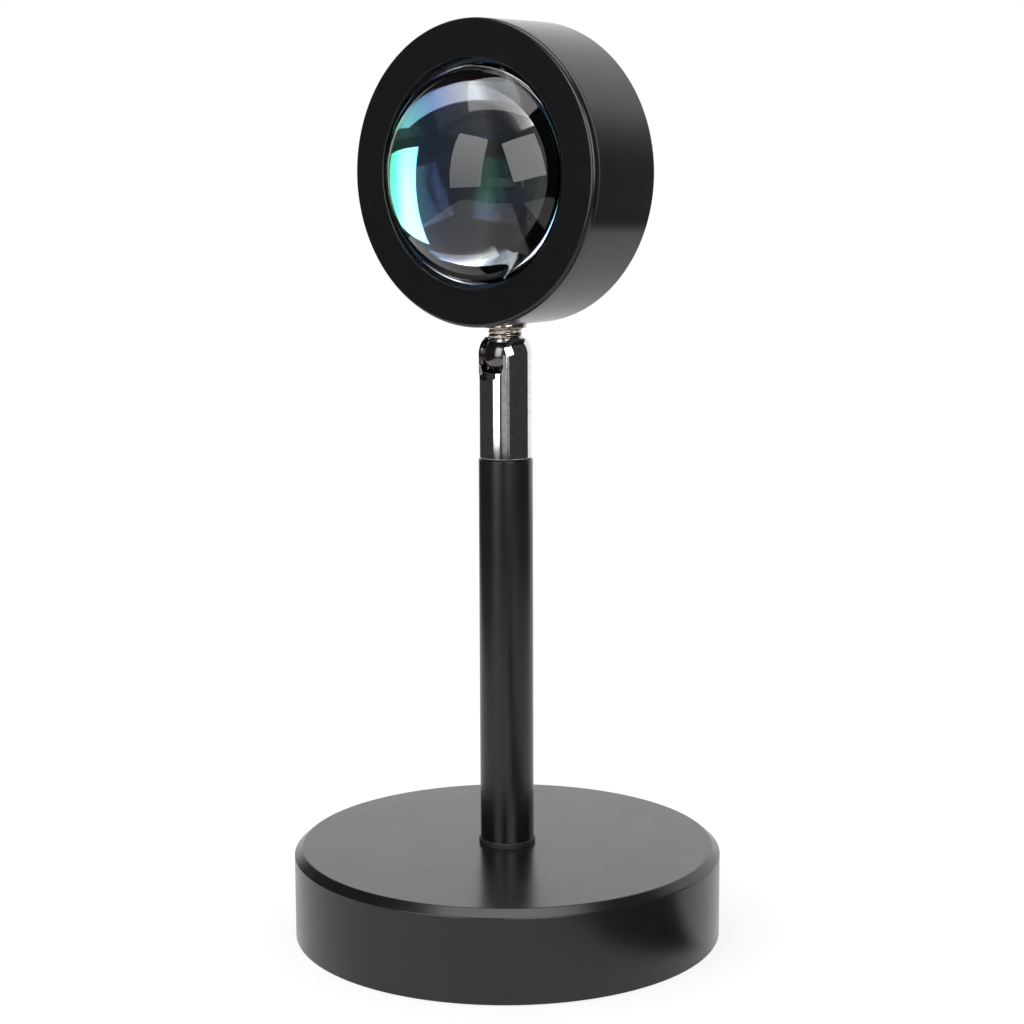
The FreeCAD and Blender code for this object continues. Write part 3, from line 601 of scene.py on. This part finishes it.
nutBoss = rod(head["bossRadius"], headFoot + head["wall"] / 2, wallTop, upright, (0, 0, 0), 96)
drum = carve(drum, nutBoss, "UNION")
drum = carve(drum, rod(head["hole"], headFoot - pastWall, wallTop + pastWall, upright, (0, 0, 0), 96))
drum = carve(drum, rod(head["seat"], headFoot - pastWall, headFoot + head["seatDepth"], upright, (0, 0, 0), 96))
finishPiece("headDrum", drum, "head", "anodised", ["head_body"])

bezel = {
    "front": 12.4, "window": 25.36, "windowBack": 11.5, "pocket": 27.2, "threadEnd": 7.0, "threadOutside": 31.86,
    "outerEdge": 1.0, "windowEdge": 0.3, "windowBackEdge": 0.06,
}
finishPiece("frontBezel", faceForward(lathe([
    (bezel["window"], bezel["windowBack"], bezel["windowBackEdge"]),
    (bezel["pocket"], bezel["windowBack"]),
    (bezel["pocket"], bezel["threadEnd"]),
    (bezel["threadOutside"], bezel["threadEnd"]),
    (bezel["threadOutside"], head["seam"]),
    (head["radius"], head["seam"], head["seamEdge"]),
    (head["radius"], bezel["front"], bezel["outerEdge"]),
    (bezel["window"], bezel["front"], bezel["windowEdge"]),
], steps=256)), "head", "anodised", ["front_bezel"])

optics = {
    "lensBack": 10.0, "lensRim": 27.0, "cap": 24.4, "bulge": 15.0, "flangeEdge": 0.15,
    "gasketInner": 25.2, "gasketBack": 9.5, "gasketEdge": 0.12, "filterBack": 8.5, "filterEdge": 0.1,
    "ringInner": 24.8, "ringRadius": 27.2, "ringEdge": 0.1, "ringLip": 0.2,
}
capSphere = (optics["cap"] ** 2 + optics["bulge"] ** 2) / (2 * optics["bulge"])
capTurn = math.degrees(math.asin(optics["cap"] / capSphere))
finishPiece("domedLens", faceForward(lathe([
    (0, optics["lensBack"]),
    (optics["lensRim"], optics["lensBack"], optics["flangeEdge"]),
    (optics["lensRim"], bezel["windowBack"], optics["flangeEdge"]),
    (optics["cap"], bezel["windowBack"]),
    ("arc", 0, bezel["windowBack"] + optics["bulge"] - capSphere, -capTurn, 56),
], steps=256, closed=False)), "head", "lens", ["lens"], sharp=20)
finishPiece("lensGasket", faceForward(lathe([
    (optics["gasketInner"], optics["gasketBack"], optics["gasketEdge"]),
    (optics["lensRim"], optics["gasketBack"], optics["gasketEdge"]),
    (optics["lensRim"], optics["lensBack"], optics["gasketEdge"]),
    (optics["gasketInner"], optics["lensBack"], optics["gasketEdge"]),
], steps=192)), "head", "blackRubber", ["lens_gasket"])
finishPiece("colourFilter", faceForward(lathe([
    (0, optics["filterBack"]),
    (optics["lensRim"], optics["filterBack"], optics["filterEdge"]),
    (optics["lensRim"], optics["gasketBack"], optics["filterEdge"]),
    (0, optics["gasketBack"]),
], steps=192, closed=False)), "head", "filter", ["colour_filter"])
finishPiece("retainingRing", faceForward(lathe([
    (optics["ringInner"], bezel["threadEnd"], optics["ringEdge"]),
    (optics["ringRadius"], bezel["threadEnd"]),
    (optics["ringRadius"], optics["filterBack"]),
    (optics["ringInner"], optics["filterBack"], optics["ringLip"]),
], steps=192)), "head", "blackPlastic", ["retaining_ring"])

baffle = {"throat": 5.5, "outside": 6.7, "back": -3.0, "neck": -1.2, "mouth": 24.8, "flange": 26.0,
          "flangeBack": 6.2, "front": 7.0, "wall": 1.2, "edge": 0.15}
finishPiece("lightBaffle", faceForward(lathe([
    (baffle["throat"], baffle["back"]),
    (baffle["outside"], baffle["back"]),
    (baffle["outside"], baffle["neck"]),
    (baffle["mouth"], baffle["flangeBack"]),
    (baffle["flange"], baffle["flangeBack"]),
    (baffle["flange"], baffle["front"]),
    (baffle["mouth"] - baffle["wall"], baffle["front"], baffle["edge"]),
    (baffle["throat"], baffle["neck"], baffle["edge"]),
], steps=192)), "head", "blackPlastic", ["light_baffle"])

emitter = {"radius": 3.0, "back": -3.0, "front": -1.8, "edge": 0.25}
finishPiece("ledEmitter", faceForward(lathe([
    (0, emitter["back"]), (emitter["radius"], emitter["back"]),
    (emitter["radius"], emitter["front"], emitter["edge"]), (0, emitter["front"]),
], steps=64, closed=False)), "head", "yellowPhosphor", ["led_emitter"])
print("head made")


# CAD nodes that keep their shape get their finish

keptNodes = {
    "zincPlate": ["bottom_plate", "plate_screws", "foot_insert", "foot_washer", "foot_nut", "top_insert",
                  "turn_bolt", "bolt_washer", "seat_springs", "stud_lock_washer", "stud_nut", "led_screws"],
    "castIron": ["base_weight"],
    "turnedBrass": ["socket_plug"],
    "turnedAluminium": ["heat_block"],
    "thermalSilicone": ["thermal_pad"],
    "whiteBoard": ["led_board"],
    "redInsulation": ["pole_leads", "head_leads"],
}
for finishName, names in keptNodes.items():
    for name in names:
        slots = frame["nodes"][name].material_slots
        for slotPlace in slots:
            slotPlace.link = "OBJECT"
            slotPlace.material = materials[finishName]
print("CAD nodes finished")


# Studio. Reflections see a dark room with a white backdrop behind the lamp and a white sheet on the table.
# Azimuths are degrees round from -Y, distances are metres, levels are linear.
studio = {
    "backDirection": 200.0, "backLift": 12.0,  # the way to the backdrop
    "backStart": 0.62, "backStop": 0.72,  # cosines at which it fades in
    "dark": 0.05, "white": 1.17, "sheet": 0.9,
    "plainLevel": 0.75,  # world light on matt surfaces
    "floorTint": "ececec",  # what matt surfaces see of the table
    "floorGlow": 0.80, "floorPaper": 0.28,  # what the camera sees of it, even light and shaded paper
    "floorHalf": 6.0,
    "sheetTurn": 34.0,  # the sheet's front edge faces this way
    "sheetFront": 0.36, "sheetLeft": 0.30, "sheetRight": 0.36,  # from the lamp to its edges
    "shadowNear": 0.055, "shadowFar": 0.13, "shadowBack": 0.015,  # painted shadow on the table, right of the base, seen in reflections
    "edgeBlur": 0.006,
    "farFloor": 0.60, "farBlur": 0.05,  # out to where the backdrop meets the table
}


def direction(azimuth, elevation):
    # azimuth 0 is -Y, the way the head faces, and 90 is +X
    a, e = math.radians(azimuth), math.radians(elevation)
    return Vector((math.sin(a) * math.cos(e), -math.cos(a) * math.cos(e), math.sin(e)))


def seesStudio(tree):
    # 1 for rays that left glossy or clear surfaces
    path = addNode(tree, "ShaderNodeLightPath")
    either = addNode(tree, "ShaderNodeMath", {"operation": "MAXIMUM"},
                     links={0: path.outputs["Is Glossy Ray"], 1: path.outputs["Is Transmission Ray"]})
    return path, either


world = bpy.data.worlds.new("studio")
bpy.context.scene.world = world
world.use_nodes = True
tree = world.node_tree
tree.nodes.clear()
path, mirrored = seesStudio(tree)
where = addNode(tree, "ShaderNodeTexCoord")
towards = addNode(tree, "ShaderNodeVectorMath", {"operation": "DOT_PRODUCT"},
                  {1: direction(studio["backDirection"], studio["backLift"])}, {0: where.outputs["Generated"]})
backdrop = addNode(tree, "ShaderNodeValToRGB", links={"Fac": towards.outputs["Value"]})
setRamp(backdrop, [(studio["backStart"], grey(studio["dark"])), (studio["backStop"], grey(studio["white"]))])
plain = addNode(tree, "ShaderNodeBackground", values={"Color": grey(1.0), "Strength": studio["plainLevel"]})
mirrorView = addNode(tree, "ShaderNodeBackground", values={"Strength": 1.0}, links={"Color": backdrop.outputs[0]})
cameraView = addNode(tree, "ShaderNodeBackground", values={"Color": grey(1.0), "Strength": 1.0})
firstMix = addNode(tree, "ShaderNodeMixShader",
                   links={0: mirrored.outputs[0], 1: plain.outputs[0], 2: mirrorView.outputs[0]})
secondMix = addNode(tree, "ShaderNodeMixShader",
                    links={0: path.outputs["Is Camera Ray"], 1: firstMix.outputs[0], 2: cameraView.outputs[0]})
addNode(tree, "ShaderNodeOutputWorld", links={"Surface": secondMix.outputs[0]})

floorMaterial, tree = newMaterial("paleFloor")
path, mirrored = seesStudio(tree)
where = addNode(tree, "ShaderNodeTexCoord")


def region(tree, edges):
    # 1 inside all the straight edges; each is an azimuth, a distance from the lamp, and whether it is the near side
    inside = None
    for azimuth, distance, near in edges:
        along = addNode(tree, "ShaderNodeVectorMath", {"operation": "DOT_PRODUCT"}, {1: direction(azimuth, 0)},
                        {0: where.outputs["Object"]})
        step = addNode(tree, "ShaderNodeMapRange", {"interpolation_type": "SMOOTHSTEP"}, {
            "From Min": distance - studio["edgeBlur"], "From Max": distance + studio["edgeBlur"],
            "To Min": 0.0 if near else 1.0, "To Max": 1.0 if near else 0.0}, {"Value": along.outputs["Value"]})
        if inside is None:
            inside = step
        else:
            inside = addNode(tree, "ShaderNodeMath", {"operation": "MULTIPLY"},
                             links={0: inside.outputs[0], 1: step.outputs[0]})
    return inside


side = studio["sheetTurn"] + 90
sheet = region(tree, [(studio["sheetTurn"], studio["sheetFront"], False), (side - 180, studio["sheetLeft"], False),
                      (side, studio["sheetRight"], False)])
# painted shadow: reflections see the sheet darkened right of the base, where the base's shadow falls
paintedTableShadow = region(tree, [(side, studio["shadowNear"], True), (side, studio["shadowFar"], False),
                     (studio["sheetTurn"], studio["shadowBack"], True)])
outward = addNode(tree, "ShaderNodeVectorMath", {"operation": "NORMALIZE"}, links={0: where.outputs["Object"]})
behind = addNode(tree, "ShaderNodeVectorMath", {"operation": "DOT_PRODUCT"},
                 {1: direction(studio["backDirection"], 0)}, {0: outward.outputs[0]})
sweep = addNode(tree, "ShaderNodeMapRange", {"interpolation_type": "SMOOTHSTEP"},
                {"From Min": studio["backStart"], "From Max": studio["backStop"], "To Max": studio["white"]},
                {"Value": behind.outputs["Value"]})
reach = addNode(tree, "ShaderNodeVectorMath", {"operation": "LENGTH"}, links={0: where.outputs["Object"]})
far = addNode(tree, "ShaderNodeMapRange", values={
    "From Min": studio["farFloor"], "From Max": studio["farFloor"] + studio["farBlur"]},
    links={"Value": reach.outputs["Value"]})
bare = addNode(tree, "ShaderNodeMath", {"operation": "SUBTRACT"}, links={0: sheet.outputs[0], 1: paintedTableShadow.outputs[0]})
near = addNode(tree, "ShaderNodeMath", {"operation": "MULTIPLY"}, {1: studio["sheet"]}, {0: bare.outputs[0]})
pale = addNode(tree, "ShaderNodeMath", {"operation": "MULTIPLY"}, links={0: sweep.outputs[0], 1: far.outputs[0]})
bright = addNode(tree, "ShaderNodeMath", {"operation": "MAXIMUM"}, links={0: near.outputs[0], 1: pale.outputs[0]})
level = addNode(tree, "ShaderNodeMath", {"operation": "MAXIMUM"}, {1: studio["dark"]}, {0: bright.outputs[0]})
mirrorGlow = addNode(tree, "ShaderNodeEmission", values={"Color": grey(1.0)}, links={"Strength": level.outputs[0]})
matt = addNode(tree, "ShaderNodeBsdfDiffuse", values={"Color": toLinear(studio["floorTint"])})
paper = addNode(tree, "ShaderNodeBsdfDiffuse", values={"Color": grey(studio["floorPaper"])})
glow = addNode(tree, "ShaderNodeEmission", values={"Color": grey(1.0), "Strength": studio["floorGlow"]})
lit = addNode(tree, "ShaderNodeAddShader", links={0: paper.outputs[0], 1: glow.outputs[0]})
firstMix = addNode(tree, "ShaderNodeMixShader",
                   links={0: mirrored.outputs[0], 1: matt.outputs[0], 2: mirrorGlow.outputs[0]})
secondMix = addNode(tree, "ShaderNodeMixShader",
                    links={0: path.outputs["Is Camera Ray"], 1: firstMix.outputs[0], 2: lit.outputs[0]})
addNode(tree, "ShaderNodeOutputMaterial", links={"Surface": secondMix.outputs[0]})

floorMesh = bmesh.new()
bmesh.ops.create_grid(floorMesh, x_segments=1, y_segments=1, size=studio["floorHalf"])
floorData = bpy.data.meshes.new("studioFloor")
floorMesh.to_mesh(floorData)
floorMesh.free()
floorData.materials.append(floorMaterial)
floor = bpy.data.objects.new("studioFloor", floorData)
bpy.context.scene.collection.objects.link(floor)

# Lit panels. Azimuth, elevation and distance are those of the middle as seen from the lens; foot is the
# share of the light that is left at the lower edge. The two low ones are strips that the base's side mirrors.
softboxes = {
    "boxLeft": {"azimuth": 0.2, "elevation": 8.5, "distance": 0.84, "width": 0.475, "height": 0.81, "roll": -5.5,
                "radiance": 4.5, "foot": 0.45},
    "boxRight": {"azimuth": 56.0, "elevation": 14.5, "distance": 0.95, "width": 0.56, "height": 0.66, "roll": 14.0,
                 "radiance": 4.7, "foot": 0.85},
    "cardFill": {"azimuth": 35.5, "elevation": -8.4, "distance": 0.87, "width": 0.40, "height": 0.14, "roll": 0.0,
                 "radiance": 0.38, "foot": 1.0},
    "cardLine": {"azimuth": 53.5, "elevation": -8.4, "distance": 0.87, "width": 0.030, "height": 0.14, "roll": 0.0,
                 "radiance": 1.0, "foot": 1.0},
}
overhead = {"place": (0.089, -0.112, 0.70), "turn": 22.0, "width": 0.72, "height": 0.50,
            "radiance": 3.4, "foot": 1.0}
aim = Vector((0, -0.02, 0.177))  # the lens


def addSoftbox(name, box, place, turn):
    # seen only in reflections; its light is even from side to side
    lamp = bpy.data.lights.new(name, "AREA")
    lamp.shape = "RECTANGLE"
    lamp.size, lamp.size_y = box["width"], box["height"]
    lamp.energy = box["radiance"] * math.pi * box["width"] * box["height"]
    lamp.use_nodes = True
    tree = lamp.node_tree
    tree.nodes.clear()
    spot = addNode(tree, "ShaderNodeNewGeometry")
    parts = addNode(tree, "ShaderNodeSeparateXYZ", links={0: spot.outputs["Parametric"]})
    fade = addNode(tree, "ShaderNodeMapRange", values={"To Min": box["foot"]}, links={"Value": parts.outputs["Y"]})
    glow = addNode(tree, "ShaderNodeEmission", links={"Strength": fade.outputs[0]})
    addNode(tree, "ShaderNodeOutputLight", links={"Surface": glow.outputs[0]})
    panel = bpy.data.objects.new(name, lamp)
    bpy.context.scene.collection.objects.link(panel)
    panel.matrix_world = Matrix.Translation(place) @ turn.to_4x4()
    panel.visible_camera = False
    panel.visible_diffuse = False


for name, box in softboxes.items():
    away = direction(box["azimuth"], box["elevation"])
    turn = away.to_track_quat("Z", "Y").to_matrix() @ Matrix.Rotation(math.radians(box["roll"]), 3, "Z")
    addSoftbox(name, box, aim + away * box["distance"], turn)
addSoftbox("boxTop", overhead, aim + Vector(overhead["place"]),
           Matrix.Rotation(math.radians(overhead["turn"]), 3, "Z"))

key = {"azimuth": -30.0, "elevation": 55.0, "distance": 1.3, "size": 0.9, "power": 3.0}  # lights matt surfaces only
keyLamp = bpy.data.lights.new("keyLamp", "AREA")
keyLamp.shape = "RECTANGLE"
keyLamp.size = keyLamp.size_y = key["size"]
keyLamp.energy = key["power"]
keyObject = bpy.data.objects.new("keyLamp", keyLamp)
bpy.context.scene.collection.objects.link(keyObject)
away = direction(key["azimuth"], key["elevation"])
keyTurn = away.to_track_quat("Z", "Y").to_matrix().to_4x4()
keyObject.matrix_world = Matrix.Translation(away * key["distance"]) @ keyTurn
keyObject.visible_camera = False
keyObject.visible_glossy = False
keyObject.visible_transmission = False
print("studio lit")
